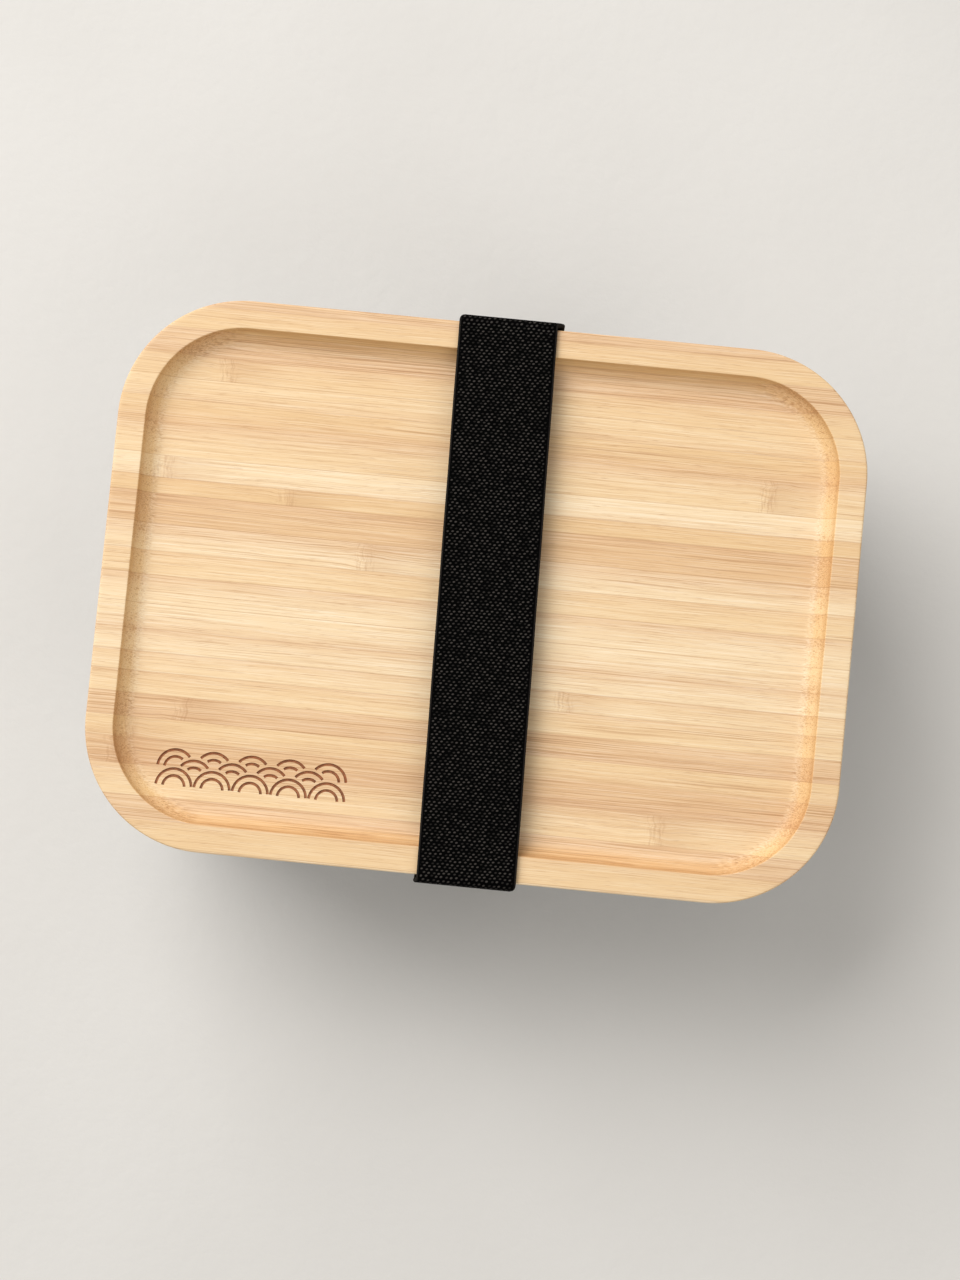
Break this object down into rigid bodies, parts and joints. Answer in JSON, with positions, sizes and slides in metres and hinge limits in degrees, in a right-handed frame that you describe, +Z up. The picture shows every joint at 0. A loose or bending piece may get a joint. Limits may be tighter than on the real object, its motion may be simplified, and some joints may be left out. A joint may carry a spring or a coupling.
{
  "type": "bento lunch box",
  "caption": "Rounded rectangular steel lunch box with a tray-topped bamboo lid, a silicone seal, a sliding divider and a wide elastic band around the middle.",
  "frame": {"origin": "on the surface that the box stands on, below the centre of the lid", "axes": "+X along the lid's length, +Y across the lid to the back, +Z up"},
  "size_m": [0.19, 0.1438, 0.0663],
  "materials": {
    "tub_steel": "satin, lightly brushed",
    "divider_steel": "satin, lightly brushed",
    "bamboo": "sanded and oiled, strips glued side by side",
    "seal_silicone": "milky, translucent",
    "trim_silicone": "matte grey",
    "elastic": "woven, matte, with fine raised ribs",
    "thread": "twisted polyester"
  },
  "bodies": {
    "tub": {"steel_tub": "tub_steel"},
    "lid": {"bamboo_lid": "bamboo", "lid_seal": "seal_silicone"},
    "divider": {"divider_plate": "divider_steel", "divider_trim": "trim_silicone"},
    "band_lower": {"band_bottom_run": "elastic", "band_front_run": "elastic", "band_back_run": "elastic", "band_lap": "elastic", "seam_thread": "thread"},
    "band_upper": {"band_top_run": "elastic"}
  },
  "joints": [
    {"name": "lid_lift", "type": "slide", "parent": "tub", "child": "lid", "axis": [0, 0, 1], "range_m": [0, 0.06]},
    {"name": "divider_slide", "type": "slide", "parent": "tub", "child": "divider", "axis": [1, 0, 0], "range_m": [-0.085, 0.035]},
    {"name": "band_slide", "type": "slide", "parent": "tub", "child": "band_lower", "axis": [1, 0, 0], "range_m": [0, 0.12]},
    {"name": "band_stretch", "type": "slide", "parent": "band_lower", "child": "band_upper", "axis": [0, 0, 1], "range_m": [0, 0.06], "stiffness_N_per_m": 80, "springref_m": -0.04, "deforming": ["band_front_run", "band_back_run"]}
  ],
  "couplings": [
    {"joint": "band_stretch", "follows": "lid_lift", "ratio": 1}
  ]
}
